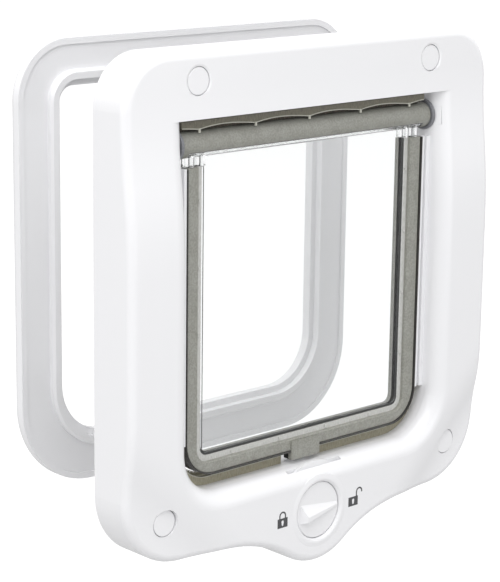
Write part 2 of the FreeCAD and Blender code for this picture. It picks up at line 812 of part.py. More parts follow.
def side_seal():
    """Seal on the right jamb, behind the edge of the flap."""
    y0 = flap_back + seal_gap
    z0 = tunnel_floor + tunnel_bottom_radius + 2.0
    z1 = leg_top - 4.0
    w = tunnel_half_width
    base = box(w - seal_base, w, y0, y0 + seal_depth, z0, z1)
    fin = box(w - side_seal_reach, w - 0.2, y0, y0 + seal_fin, z0, z1)
    return single(base.fuse(fin))


def lock_knob():
    """Round knob with a wedge grip that points to the right when the flap is free."""
    y1 = knob_seat
    y0 = knob_seat - knob_thickness
    disc = turned_y(0, knob_z, disc_sides, (knob_radius - disc_bevel, y0), (knob_radius, y0 + disc_bevel),
                    (knob_radius, y1))
    base = y0 + ridge_sink
    tall = ridge_height + ridge_sink

    def end(x, low_edge, share):
        top = base - tall * share
        z0 = knob_z - low_edge
        z1 = z0 + ridge_steep * share
        z2 = z1 + ridge_crest * share
        z3 = z2 + ridge_slope * share
        return [V(x, base, z3), V(x, base, z0), V(x, top, z1), V(x, top, z2)]

    grip = ring_solid([end(-ridge_left, ridge_low, 1.0),
                       end(ridge_right, ridge_tip_low, (ridge_tip_height + ridge_sink) / tall)])
    far = knob_z - knob_radius
    over = 1.5
    slant = [V(-ridge_left, base, far), V(-ridge_left + over * ridge_slant, base - over * tall, far),
             V(-ridge_left - 2, base - over * tall, far), V(-ridge_left - 2, base, far)]
    grip = grip.cut(Part.Face(Part.makePolygon(slant + slant[:1])).extrude(V(0, 0, 2 * knob_radius)))
    shaft = cyl_y(0, knob_z, shaft_radius, y1 - 1, cam_front - 0.1)
    tail = cyl_y(0, knob_z, shaft_end_radius, cam_front - 0.5, cam_back)
    tail = tail.common(box(-shaft_flat, shaft_flat, -60, 0, knob_z - 20, knob_z + 20))
    r = small_screw_radius + seat_gap
    screw = turned_y(0, knob_z, screw_sides, (r, cam_back - knob_screw_length - screw_tip_gap), (r, cam_back + 1))
    return single(disc.fuse([grip, shaft, tail]).cut(screw))


def spiral_point(turn, offset):
    """Point on the cam slot, at a knob turn in radians, offset across the slot."""
    radius = cam_slot_start + lock_lift * turn / math.pi + offset
    angle = math.pi / 2.0 - turn
    return V(radius * math.cos(angle), cam_front - 1.0, knob_z + radius * math.sin(angle))


def cam_disc():
    """Disc on the shaft with a spiral slot that lifts the slide by an even amount per turn."""
    disc = turned_y(0, knob_z, disc_sides, (cam_radius, cam_front), (cam_radius, cam_back))
    half = follower_radius + follower_gap
    pieces = 4
    outer = []
    inner = []
    for i in range(pieces):
        turns = [math.pi * (i + share) / pieces for share in (0.0, 0.5, 1.0)]
        outer.append(arc(*[spiral_point(t, half) for t in turns]))
        inner.append(arc(*[spiral_point(t, -half) for t in turns]))
    edges = outer + [line(spiral_point(math.pi, half), spiral_point(math.pi, -half))]
    edges += inner[::-1] + [line(spiral_point(0, -half), spiral_point(0, half))]
    slot = Part.Face(Part.Wire(Part.__sortEdges__(edges))).extrude(V(0, cam_thickness + 2.0, 0))
    ends = []
    for turn in (0.0, math.pi):
        p = spiral_point(turn, 0)
        ends.append(cyl_y(p.x, p.z, half, cam_front - 1, cam_back + 1))
    hub = cyl_y(0, knob_z, shaft_end_radius + seat_gap, cam_front - 1, cam_back + 1)
    flat = shaft_flat + seat_gap
    hub = hub.common(box(-flat, flat, -60, 0, knob_z - 20, knob_z + 20))
    return single(disc.cut(slot.fuse(ends)).cut(hub))


def slide_outline(z_top):
    """Plate of the slide: straight sides and bottom, and an arched top."""
    w = slide_half_width
    drop = slide_arc_radius - math.sqrt(slide_arc_radius ** 2 - w ** 2)
    shoulder = z_top - drop
    edges = [
        line(V(-w, 0, slide_bottom), V(w, 0, slide_bottom)),
        line(V(w, 0, slide_bottom), V(w, 0, shoulder)),
        arc(V(w, 0, shoulder), V(0, 0, z_top), V(-w, 0, shoulder)),
        line(V(-w, 0, shoulder), V(-w, 0, slide_bottom)),
    ]
    return Part.Wire(edges)


def lock_slide():
    """Fork that rises on both sides of the tab, with the pin that runs in the cam slot."""
    front = prism_y(slide_outline(slide_top), slide_front, slide_back)
    rear = prism_y(slide_outline(slide_top), rear_plate_front, rear_plate_back)
    wall_top = tunnel_floor - flare_wall - slide_gap - lock_lift - 0.5
    walls = both_sides(box(slide_half_width - slide_wall, slide_half_width, slide_back, rear_plate_front,
                           slide_bottom, wall_top))
    pin = cyl_y(0, knob_z + cam_slot_start, follower_radius, slide_back - 0.5, cam_back + 0.3)
    r = shaft_radius + 0.4
    way = cyl_y(0, knob_z, r, slide_front - 1, slide_back + 1)
    way = way.fuse(cyl_y(0, knob_z - lock_lift, r, slide_front - 1, slide_back + 1))
    way = way.fuse(box(-r, r, slide_front - 1, slide_back + 1, knob_z - lock_lift, knob_z))
    access = plate(small_head_radius + 2.0, knob_z - small_head_radius - 2.0 - lock_lift,
                   knob_z + small_head_radius + 2.0, 2.0, 2.0, rear_plate_front - 1, rear_plate_back + 1)
    return single(front.cut(way).fuse([rear.cut(access), pin] + walls))


def small_screw(x, z, seat, length):
    """Small pan-head screw whose head faces the door; seat is the Y under its head."""
    r = small_screw_radius
    body = turned_y(x, z, screw_sides, (r, seat - length), (r, seat), (small_head_radius, seat),
                    (small_head_radius * 0.8, seat + small_head_height))
    slot = box(x - 2.0, x + 2.0, seat + 0.8, seat + 3, z - 0.35, z + 0.35)
    return single(body.cut(slot))


def lock_cover():
    y0 = cover_front
    y1 = cover_front + cover_thickness
    cover = plate(cover_half_width, cover_bottom, cover_top, cover_bottom_radius, cover_radius, y0, y1)
    for x in (-cover_screw_x, cover_screw_x):
        r = small_screw_radius + 0.2
        cover = cover.cut(turned_y(x, cover_screw_z, screw_sides, (r, y0 - 1), (r, y1 + 1)))
    return single(cover)


def screw_cap(x, z):
    y0 = face_y(x, z) + cap_recess
    back = y0 + cap_thickness
    end = screw_seat - screw_head_height - 0.3
    return single(turned_y(x, z, cap_sides, (cap_radius - cap_bevel, y0), (cap_radius, y0 + cap_bevel),
                           (cap_radius, back), (cap_stem_radius, back), (cap_stem_radius, end)))


def fixing_screw(x, z):
    """Pan-head wood screw; its head bears on the seat under the cap."""
    top = screw_seat - screw_head_height
    end = screw_seat + screw_length
    body = turned_y(x, z, screw_sides, (screw_head_radius * 0.75, top), (screw_head_radius, screw_seat),
                    (screw_radius, screw_seat), (screw_radius, end - 5.0), (0.4, end))
    cross = box(x - 2.2, x + 2.2, top - 1, top + 1.4, z - 0.5, z + 0.5)
    return single(body.cut(cross).cut(cross.rotated(V(x, 0, z), V(0, 1, 0), 90)))


def sill_magnet():
    """Magnet under the floor of the passage, below the tab."""
    y = (tab_front + tab_back) / 2.0
    top = tunnel_floor - tunnel_wall + 0.6
    return box(-magnet_half_width, magnet_half_width, y - magnet_depth / 2.0, y + magnet_depth / 2.0,
               top - magnet_height, top)


def build():
    """Every piece of the cat flap, by name."""
    parts = {
        "inner_frame": inner_frame(),
        "outer_frame": outer_frame(),
        "front_flap_frame": front_band(),
        "rear_flap_frame": rear_band(),
        "clear_panel": clear_panel(),
        "hinge_bar": hinge_bar(),
        "panel_gasket": panel_gasket(),
        "flap_magnet": flap_magnet(),
        "sill_magnet": sill_magnet(),
        "top_seal": top_seal(),
        "lock_knob": lock_knob(),
        "lock_cam": cam_disc(),
        "lock_slide": lock_slide(),
        "lock_cover": lock_cover(),
        "knob_screw": small_screw(0, knob_z, cam_back, knob_screw_length),
    }
    pairs = {
        "hinge_pin": hinge_pin(),
        "hinge_bush": hinge_bush(),
        "bottom_seal": bottom_seal(),
        "side_seal": side_seal(),
        "cover_screw": small_screw(cover_screw_x, cover_screw_z, cover_front + cover_thickness,
                                   small_screw_length),
    }
    for name, solid in pairs.items():
        right, left = both_sides(solid)
        parts[name + "_right"] = right
        parts[name + "_left"] = left
    for place, (x, z) in screw_places().items():
        parts["screw_cap_" + place] = screw_cap(x, z)
        parts["fixing_screw_" + place] = fixing_screw(x, z)
    return parts


os.makedirs("parts", exist_ok=True)
for name, shape in build().items():
    shape.exportStep("parts/" + name + ".step")
    print(name, shape.isValid(), len(shape.Solids), round(shape.Volume), shape.BoundBox)
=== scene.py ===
import math

import bmesh
import bpy
from bpy.props import FloatProperty, FloatVectorProperty, PointerProperty, StringProperty
from mathutils import Matrix, Vector


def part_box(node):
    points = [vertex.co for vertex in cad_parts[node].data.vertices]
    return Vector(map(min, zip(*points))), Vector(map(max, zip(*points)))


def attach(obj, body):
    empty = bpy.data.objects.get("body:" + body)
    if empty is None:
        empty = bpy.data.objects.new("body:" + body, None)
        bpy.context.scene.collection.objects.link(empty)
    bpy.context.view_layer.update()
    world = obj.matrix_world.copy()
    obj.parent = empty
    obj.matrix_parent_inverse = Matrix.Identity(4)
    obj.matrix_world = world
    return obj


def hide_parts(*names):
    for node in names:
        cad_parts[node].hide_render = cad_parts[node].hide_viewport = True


bl_info = {
    "name": "Cat flap",
    "version": (1, 0, 0),
    "blender": (4, 5, 0),
    "location": "View3D > Sidebar > Cat flap",
    "description": "Finishes and fine detail of a two-way cat flap with a rotary lock",
    "category": "Object",
}

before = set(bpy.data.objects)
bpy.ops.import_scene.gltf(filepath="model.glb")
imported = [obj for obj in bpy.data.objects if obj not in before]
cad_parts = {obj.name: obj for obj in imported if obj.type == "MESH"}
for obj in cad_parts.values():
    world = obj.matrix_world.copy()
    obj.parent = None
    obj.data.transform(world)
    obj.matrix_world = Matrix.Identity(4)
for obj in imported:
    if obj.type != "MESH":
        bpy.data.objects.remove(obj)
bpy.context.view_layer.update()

MM = 0.001
LOBE_FACE = -28.0 * MM      # the frame's front face round the knob
SILL_CORNER = 24.5 * MM     # radius of the passage's lower corners
FLAP_CORNER = 18.0 * MM     # radius of the flap's lower corners
TUFT_SWAY = 2.4             # step of the sine that leans one tuft differently from the next


def linear(code):
    """An sRGB hex colour as linear RGBA."""
    values = [int(code[i:i + 2], 16) / 255.0 for i in (1, 3, 5)]
    return tuple(v / 12.92 if v <= 0.04045 else ((v + 0.055) / 1.055) ** 2.4 for v in values) + (1.0,)


def add(owner, kind, settings=None, inputs=None, links=None):
    """Add a node to a material or world: settings are its own values, inputs its socket values, links
    its sockets' sources."""
    tree = owner.node_tree
    node = tree.nodes.new(kind)
    for key, value in (settings or {}).items():
        setattr(node, key, value)
    for key, value in (inputs or {}).items():
        node.inputs[key].default_value = value
    for key, source in (links or {}).items():
        tree.links.new(source, node.inputs[key])
    return node


def new_material(name):
    """An empty node material."""
    material = bpy.data.materials.new(name)
    material.use_nodes = True
    material.node_tree.nodes.clear()
    return material


def close_material(material, surface):
    """Lead the shader to the material's output."""
    add(material, "ShaderNodeOutputMaterial", links={"Surface": surface.outputs[0]})
    return material


def spot_scale(millimetres):
    """Noise scale, per metre, whose blobs are that many millimetres across."""
    return 1000.0 / millimetres


def glossy_abs(name, code, roughness):
    """Injection-moulded gloss ABS: a hard bright skin with a faint orange-peel ripple
    a few millimetres long, which softens the edges of its reflections."""
    m = new_material(name)
    place = add(m, "ShaderNodeTexCoord")
    peel = add(m, "ShaderNodeTexNoise", inputs={"Scale": spot_scale(3.5), "Detail": 1.5, "Roughness": 0.4},
               links={"Vector": place.outputs["Object"]})
    haze = add(m, "ShaderNodeTexNoise", inputs={"Scale": spot_scale(45.0), "Detail": 2.0},
               links={"Vector": place.outputs["Object"]})
    rough = add(m, "ShaderNodeMapRange", inputs={"To Min": roughness * 0.9, "To Max": roughness * 1.12},
                links={"Value": haze.outputs["Fac"]})
    bump = add(m, "ShaderNodeBump", inputs={"Strength": 0.04, "Distance": 0.3 * MM},
               links={"Height": peel.outputs["Fac"]})
    skin = add(m, "ShaderNodeBsdfPrincipled",
               inputs={"Base Color": linear(code), "IOR": 1.53, "Coat Weight": 0.12, "Coat Roughness": 0.12},
               links={"Roughness": rough.outputs["Result"], "Normal": bump.outputs["Normal"]})
    return close_material(m, skin)


def matt_abs(name, code, dark_code):
    """Grey ABS from a spark-eroded tool: a fine even grain, drawn at 0.9 mm so that it shows,
    with painted shade in the grain's pits and painted light on its lands, and a slightly cloudy colour."""
    m = new_material(name)
    place = add(m, "ShaderNodeTexCoord")
    cloud = add(m, "ShaderNodeTexNoise", inputs={"Scale": spot_scale(6.0), "Detail": 3.0},
                links={"Vector": place.outputs["Object"]})
    grain = add(m, "ShaderNodeTexNoise", inputs={"Scale": spot_scale(0.9), "Detail": 2.0, "Roughness": 0.6},
                links={"Vector": place.outputs["Object"]})
    blend = add(m, "ShaderNodeMapRange", inputs={"From Min": 0.35, "From Max": 0.65},
                links={"Value": cloud.outputs["Fac"]})
    colour = add(m, "ShaderNodeMix", {"data_type": "RGBA"}, {"A": linear(dark_code), "B": linear(code)},
                 {"Factor": blend.outputs["Result"]})
    # Painted shade in the grain's pits and painted light on its lands, following the same noise as the bump.
    grain_shading = add(m, "ShaderNodeMapRange",
               inputs={"From Min": 0.4, "From Max": 0.62, "To Min": 0.84, "To Max": 1.06},
               links={"Value": grain.outputs["Fac"]})
    shaded = add(m, "ShaderNodeHueSaturation", links={"Color": colour.outputs["Result"],
                                                      "Value": grain_shading.outputs["Result"]})
    bump = add(m, "ShaderNodeBump", inputs={"Strength": 0.35, "Distance": 0.12 * MM},
               links={"Height": grain.outputs["Fac"]})
    skin = add(m, "ShaderNodeBsdfPrincipled", inputs={"Roughness": 0.46, "IOR": 1.53},
               links={"Base Color": shaded.outputs["Color"], "Normal": bump.outputs["Normal"]})
    return close_material(m, skin)


def clear_acrylic(name, code):
    """Clear moulded acrylic: a polished skin, a trace of haze that lights its edges, and a slow
    waviness about 30 mm long, which bends what shows through it a little."""
    m = new_material(name)
    place = add(m, "ShaderNodeTexCoord")
    wave = add(m, "ShaderNodeTexNoise", inputs={"Scale": spot_scale(30.0), "Detail": 1.0},
               links={"Vector": place.outputs["Object"]})
    bump = add(m, "ShaderNodeBump", inputs={"Strength": 0.06, "Distance": 0.6 * MM},
               links={"Height": wave.outputs["Fac"]})
    skin = add(m, "ShaderNodeBsdfPrincipled",
               inputs={"Base Color": linear(code), "Roughness": 0.02, "IOR": 1.49,
                       "Transmission Weight": 0.96},
               links={"Normal": bump.outputs["Normal"]})
    return close_material(m, skin)


def woven_pile(name, code, dark_code):
    """Woven polypropylene draught pile: short upright fibres in rows, drawn at 0.6 mm,
    with painted shade between the tufts, where the second colour fills the low places of their bump."""
    m = new_material(name)
    place = add(m, "ShaderNodeTexCoord")
    stretch = add(m, "ShaderNodeMapping", inputs={"Scale": (1.0, 1.0, 0.22)},
                  links={"Vector": place.outputs["Object"]})
    tufts = add(m, "ShaderNodeTexNoise", inputs={"Scale": spot_scale(0.6), "Detail": 3.0, "Roughness": 0.7},
                links={"Vector": stretch.outputs["Vector"]})
    deep = add(m, "ShaderNodeMapRange", inputs={"From Min": 0.36, "From Max": 0.62},
               links={"Value": tufts.outputs["Fac"]})
    # Painted shade: the darker colour goes where the tufts are low, between them.
    colour = add(m, "ShaderNodeMix", {"data_type": "RGBA"}, {"A": linear(dark_code), "B": linear(code)},
                 {"Factor": deep.outputs["Result"]})
    bump = add(m, "ShaderNodeBump", inputs={"Strength": 0.8, "Distance": 0.4 * MM},
               links={"Height": tufts.outputs["Fac"]})
    skin = add(m, "ShaderNodeBsdfPrincipled",
               inputs={"Roughness": 0.85, "Sheen Weight": 0.3, "Sheen Roughness": 0.5},
               links={"Base Color": colour.outputs["Result"], "Normal": bump.outputs["Normal"]})
    return close_material(m, skin)


def zinc_steel(name, code):
    """Bright zinc-plated steel with fine turning marks, drawn at 0.3 mm."""
    m = new_material(name)
    place = add(m, "ShaderNodeTexCoord")
    marks = add(m, "ShaderNodeTexNoise", inputs={"Scale": spot_scale(0.3), "Detail": 2.0},
                links={"Vector": place.outputs["Object"]})
    rough = add(m, "ShaderNodeMapRange", inputs={"To Min": 0.22, "To Max": 0.42},
                links={"Value": marks.outputs["Fac"]})
    skin = add(m, "ShaderNodeBsdfPrincipled", inputs={"Base Color": linear(code), "Metallic": 1.0},
               links={"Roughness": rough.outputs["Result"]})
    return close_material(m, skin)


def ferrite(name, code):
    """Sintered ferrite magnet: charcoal, dull and slightly granular at 0.8 mm."""
    m = new_material(name)
    place = add(m, "ShaderNodeTexCoord")
    grit = add(m, "ShaderNodeTexNoise", inputs={"Scale": spot_scale(0.8), "Detail": 3.0},
               links={"Vector": place.outputs["Object"]})
    bump = add(m, "ShaderNodeBump", inputs={"Strength": 0.4, "Distance": 0.1 * MM},
               links={"Height": grit.outputs["Fac"]})
    skin = add(m, "ShaderNodeBsdfPrincipled", inputs={"Base Color": linear(code), "Roughness": 0.6},
               links={"Normal": bump.outputs["Normal"]})
    return close_material(m, skin)


def pad_ink(name, code):
    """Pad-printed two-part ink: a thin dark satin film with a slightly uneven lay-down at 1 mm."""
    m = new_material(name)
    place = add(m, "ShaderNodeTexCoord")
    film = add(m, "ShaderNodeTexNoise", inputs={"Scale": spot_scale(1.0), "Detail": 2.0},
               links={"Vector": place.outputs["Object"]})
    rough = add(m, "ShaderNodeMapRange", inputs={"To Min": 0.35, "To Max": 0.5},
                links={"Value": film.outputs["Fac"]})
    skin = add(m, "ShaderNodeBsdfPrincipled", inputs={"Base Color": linear(code)},
               links={"Roughness": rough.outputs["Result"]})
    return close_material(m, skin)


def painted_board(name, code, glow_code, roughness, glow):
    """Matt painted studio board with a roller texture about 4 mm long. It is lit from below, which
    the camera sees, straight or through the clear panel, and the object doesn't."""
    m = new_material(name)
    place = add(m, "ShaderNodeTexCoord")
    roller = add(m, "ShaderNodeTexNoise", inputs={"Scale": spot_scale(4.0), "Detail": 2.0},
                 links={"Vector": place.outputs["Object"]})
    bump = add(m, "ShaderNodeBump", inputs={"Strength": 0.03, "Distance": 0.2 * MM},
               links={"Height": roller.outputs["Fac"]})
    skin = add(m, "ShaderNodeBsdfPrincipled", inputs={"Base Color": linear(code), "Roughness": roughness},
               links={"Normal": bump.outputs["Normal"]})
    path = add(m, "ShaderNodeLightPath")
    seen = add(m, "ShaderNodeMath", {"operation": "MAXIMUM"},
               links={0: path.outputs["Is Camera Ray"], 1: path.outputs["Is Transmission Ray"]})
    share = add(m, "ShaderNodeMath", {"operation": "MULTIPLY"}, {1: 0.8}, {0: seen.outputs["Value"]})
    lamp = add(m, "ShaderNodeEmission", inputs={"Color": linear(glow_code), "Strength": glow})
    mixed = add(m, "ShaderNodeMixShader", links={"Fac": share.outputs["Value"], 1: skin.outputs["BSDF"],
                                                 2: lamp.outputs["Emission"]})
    return close_material(m, mixed)


def finish(material, *names):
    """Give CAD nodes this material in place of their own."""
    for name in names:
        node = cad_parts[name]
        node.data.materials.clear()
        node.data.materials.append(material)


def new_piece(name, mesh, material, body, slot, *stands_for):
    """Make an object from a bmesh: it rides on a body and may stand for CAD nodes."""
    data = bpy.data.meshes.new(name)
    mesh.to_mesh(data)
    mesh.free()
    data.materials.append(material)
    piece = bpy.data.objects.new(name, data)
    bpy.context.scene.collection.objects.link(piece)
    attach(piece, body)
    if stands_for:
        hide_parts(*stands_for)
    return piece


def new_line(name, points, radius, material, body):
    """A thin round bead through the points."""
    curve = bpy.data.curves.new(name, "CURVE")
    curve.dimensions = "3D"
    curve.bevel_depth = radius
    curve.bevel_resolution = 1
    curve.use_fill_caps = True
    spline = curve.splines.new("POLY")
    spline.points.add(len(points) - 1)
    for spot, point in zip(spline.points, points):
        spot.co = (*point, 1.0)
    curve.materials.append(material)
    piece = bpy.data.objects.new(name, curve)
    bpy.context.scene.collection.objects.link(piece)
    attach(piece, body)
    return piece


def closed_wire(mesh, points):
    """Add points joined into a closed loop, and return its vertices and edges for a spin."""
    verts = [mesh.verts.new(point) for point in points]
    return verts + [mesh.edges.new(pair) for pair in zip(verts, verts[1:] + verts[:1])]


def vertices(geom):
    """The vertices among an operator's results."""
    return [g for g in geom if isinstance(g, bmesh.types.BMVert)]


def block_shape(mesh, low, high, bevel=0.0):
    """Add a box between two corners, its edges rounded by the bevel."""
    size = Vector(high) - Vector(low)
    made = bmesh.ops.create_cube(mesh, size=1.0)["verts"]
    bmesh.ops.scale(mesh, verts=made, vec=size)
    bmesh.ops.translate(mesh, verts=made, vec=(Vector(low) + Vector(high)) / 2.0)
    if bevel:
        edges = list({edge for vert in made for edge in vert.link_edges})
        bmesh.ops.bevel(mesh, geom=edges, offset=bevel, segments=2, profile=0.5, affect="EDGES",
                        material=-1)


def tuft(mesh, root, tip, radius):
    """Add one tuft of pile: a slim four-sided cone from root to tip."""
    along = Vector(tip) - Vector(root)
    turn = along.to_track_quat("Z", "Y").to_matrix().to_4x4()
    place = Matrix.Translation(Vector(root) + along / 2.0) @ turn
    bmesh.ops.create_cone(mesh, cap_ends=True, segments=4, radius1=radius, radius2=radius * 0.35,
                          depth=along.length, matrix=place)


def l_path(mesh, start, corner_start, centre, end, steps):
    """Add a wire in an upright plane: a run, a quarter turn about the centre, and a run to the end."""
    first = mesh.verts.new(start)
    if (Vector(start) - Vector(corner_start)).length > 1e-6:
        bend = mesh.verts.new(corner_start)
        mesh.edges.new((first, bend))
    else:
        bend = first
    angle = -math.pi / 2 if corner_start[0] > 0 else math.pi / 2
    turned = bmesh.ops.spin(mesh, geom=[bend], cent=centre, axis=(0, 1, 0), angle=angle, steps=steps)
    last = turned["geom_last"][0]
    tip = mesh.verts.new(end)
    mesh.edges.new((last, tip))


class CatFlapFinish(bpy.types.PropertyGroup):
    """Colours of the mouldings and seals, as sRGB hex."""
    white: StringProperty(name="Frames", description="Colour of the two frames and the lock",
                          default="#f1f1f3")
    grey: StringProperty(name="Flap frame", description="Colour of the grey flap frame", default="#9b9b94")
    grey_dark: StringProperty(name="Flap frame, dark", description="Darker cloud in the grey",
                              default="#93938b")
    bush: StringProperty(name="Hinge bushes", description="Colour of the hinge bushes", default="#86878c")
    bush_dark: StringProperty(name="Hinge bushes, dark", description="Darker cloud in them",
                              default="#7b7c81")
    gasket: StringProperty(name="Panel gasket", description="Colour of the panel's gasket", default="#d2d2cf")
    # Painted shade: the colour put between the gasket's tufts.
    gasket_tuft_shade: StringProperty(name="Panel gasket, dark", description="Darker cloud in it",
                                default="#bcbcb8")
    # Painted shade: near-black for the sheet along the flap's edge, standing for the shadow in the gap round
    # it, and for the bed between its tufts.
    edge_shade: StringProperty(name="Edging", description="Colour of the flocked edging", default="#2a2824")
    film: StringProperty(name="Film", description="Colour of the seal's film edge", default="#c4c4b8")
    clear: StringProperty(name="Clear panel", description="Tint of the clear panel", default="#fbfcfc")
    pile: StringProperty(name="Draught pile", description="Colour of the tufts", default="#a8a38e")
    # Painted shade: the colour put between the lower pile's tufts.
    pile_dark: StringProperty(name="Draught pile, deep", description="Colour between tufts",
                              default="#8f8a76")
    # Painted shade: the top strip's pile is a darker copy of the lower pile, for the frame's shadow over it.
    pile_top_shaded: StringProperty(name="Top pile", description="Colour of the pile above the flap",
                             default="#807c6c")
    pile_top_dark: StringProperty(name="Top pile, deep", description="Colour between its tufts",
                                  default="#67645a")
    # Painted shade: the bed behind the top strip is coloured as pile in shadow.
    pile_deep_shaded: StringProperty(name="Draught pile, bed", description="Colour of the pile behind the top strip",
                              default="#6a6154")
    ink: StringProperty(name="Marks", description="Colour of the padlock marks", default="#4a4a4c")
    white_roughness: FloatProperty(name="Frame roughness", description="Gloss of the frames", default=0.24,
                                   min=0.05, max=0.8, subtype="FACTOR")


class CatFlapMarks(bpy.types.PropertyGroup):
    """Sizes of the collar round the knob and the padlock marks beside it."""
    spacing: FloatProperty(name="Distance", description="From the knob's centre to a mark", default=26.2 * MM,
                           min=20 * MM, max=32 * MM, unit="LENGTH")
    width: FloatProperty(name="Body width", description="Width of a padlock's body", default=7.0 * MM,
                         min=4 * MM, max=10 * MM, unit="LENGTH")
    height: FloatProperty(name="Body height", description="Height of a padlock's body", default=5.0 * MM,
                          min=3 * MM, max=8 * MM, unit="LENGTH")
    collar: FloatProperty(name="Collar", description="Height of the collar round the knob", default=0.3 * MM,
                          min=0.1 * MM, max=1.5 * MM, unit="LENGTH")
    thickness: FloatProperty(name="Film", description="Thickness of the print", default=0.06 * MM,
                             min=0.02 * MM, max=0.3 * MM, unit="LENGTH")


class CatFlapSeals(bpy.types.PropertyGroup):
    """Sizes of the draught seals and of the near-black sheet of painted shade along the flap's edge."""
    rise: FloatProperty(name="Scallop", description="Rise of the top seal's edge between two pegs",
                        default=1.5 * MM, min=0.2 * MM, max=3 * MM, unit="LENGTH")
    drop: FloatProperty(name="Peg length", description="Length of the pegs below the seal's edge",
                        default=1.8 * MM, min=0.5 * MM, max=3 * MM, unit="LENGTH")
    first: FloatProperty(name="First peg", description="Distance of the first peg from the seal's right end",
                         default=11.1 * MM, min=4 * MM, max=30 * MM, unit="LENGTH")
    pitch: FloatProperty(name="Peg pitch", description="Distance between two pegs", default=36.4 * MM,
                         min=20 * MM, max=60 * MM, unit="LENGTH")
    gap_left: FloatProperty(name="Left gap", description="Free length at the left end of the top seal",
                            default=1.0 * MM, min=1.0 * MM, max=12 * MM, unit="LENGTH")
    gap_right: FloatProperty(name="Right gap", description="Free length at the right end of the top seal",
                             default=5.0 * MM, min=1.0 * MM, max=12 * MM, unit="LENGTH")
    tuft_gap: FloatProperty(name="Tuft pitch", description="Distance between two tufts", default=0.9 * MM,
                            min=0.5 * MM, max=3 * MM, unit="LENGTH")
    # Thickness of the near-black sheet of painted shade along the flap's edge.
    edge_shade: FloatProperty(name="Edging", description="Thickness of the dark flocked edging on the flap",
                          default=0.5 * MM, min=0.2 * MM, max=0.7 * MM, unit="LENGTH")


class CatFlapThreads(bpy.types.PropertyGroup):
    """Sizes of the fixing screws' threads."""
    pitch: FloatProperty(name="Pitch", description="Pitch of the thread", default=1.8 * MM,
                         min=0.8 * MM, max=3 * MM, unit="LENGTH")
    crest: FloatProperty(name="Crest", description="Height of the thread above the core", default=0.65 * MM,
                         min=0.2 * MM, max=1.2 * MM, unit="LENGTH")


class CatFlapStage(bpy.types.PropertyGroup):
    """Camera and light."""
    eye: FloatVectorProperty(name="Camera", description="Place of the camera", size=3,
                             default=(-0.68723, -0.70750, 0.21707), subtype="TRANSLATION", unit="LENGTH")
    lens: FloatProperty(name="Lens", description="Focal length in millimetres", default=122.25,
                        min=50, max=200)
    room: FloatProperty(name="Room light", description="Strength of the even light from all round",
                        default=0.82, min=0.0, max=2.0)
    key: FloatProperty(name="Key light", description="Power of the key light in watts", default=3.5,
                       min=0, max=60)
    top: FloatProperty(name="Top light", description="Power of the top light in watts", default=17.0,
                       min=0, max=90)
    fill: FloatProperty(name="Fill light", description="Power of the fill light in watts", default=2.0,
                        min=0, max=60)
    side: FloatProperty(name="Side light", description="Power of the side light in watts", default=4.2,
                        min=0, max=60)
    glow: FloatProperty(name="Floor glow", description="Strength of the light in the floor", default=1.35,
                        min=0.0, max=3.0)
    floor_drop: FloatProperty(name="Floor", description="Height of the floor below the centre", default=0.34,
                              min=0.16, max=1.0, unit="LENGTH")


class CATFLAP_OT_frames(bpy.types.Operator):
    """Finish the two white frames, the lock and the screw caps"""
    bl_idname = "cat_flap.frames"
    bl_label = "Frames"

    def execute(self, context):
        look = context.scene.cat_flap_finish
        white = glossy_abs("gloss_white_abs", look.white, look.white_roughness)
        finish(white, "inner_frame", "outer_frame", "lock_knob", "lock_cam", "lock_slide", "lock_cover",
               "screw_cap_top_left", "screw_cap_top_right", "screw_cap_bottom_left", "screw_cap_bottom_right")
        return {"FINISHED"}


class CATFLAP_OT_collar(bpy.types.Operator):
    """Make the low collar round the knob's seat"""
    bl_idname = "cat_flap.collar"
    bl_label = "Knob collar"

    def execute(self, context):
        look = context.scene.cat_flap_finish
        sizes = context.scene.cat_flap_marks
        low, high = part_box("lock_knob")
        middle = (low[2] + high[2]) / 2
        inner = high[0] + 0.25 * MM
        crest = LOBE_FACE - sizes.collar
        # From the bottom of the gap, up a bevelled inner edge, over the crest and down to the lobe.
        profile = [(0.0, LOBE_FACE + 1.6 * MM), (0.0, LOBE_FACE + 0.95 * MM), (0.2, LOBE_FACE + 0.7 * MM),
                   (0.9, crest + 0.15 * MM), (1.4, crest), (2.4, crest + 0.04 * MM),
                   (3.4, LOBE_FACE - 0.06 * MM), (4.2, LOBE_FACE - 0.01 * MM),
                   (4.6, LOBE_FACE + 0.06 * MM), (4.6, LOBE_FACE + 0.4 * MM)]
        mesh = bmesh.new()
        wire = closed_wire(mesh, [(inner + out * MM, y, middle) for out, y in profile])
        bmesh.ops.spin(mesh, geom=wire, cent=(0, 0, middle), axis=(0, 1, 0), angle=2 * math.pi, steps=72,
                       use_merge=True)
        bmesh.ops.recalc_face_normals(mesh, faces=mesh.faces)
        for facet in mesh.faces:
            facet.smooth = facet.normal.y < 0
        new_piece("knob_collar", mesh, glossy_abs("gloss_white_collar", look.white, look.white_roughness),
                  "frame", "white_plastic")
        return {"FINISHED"}


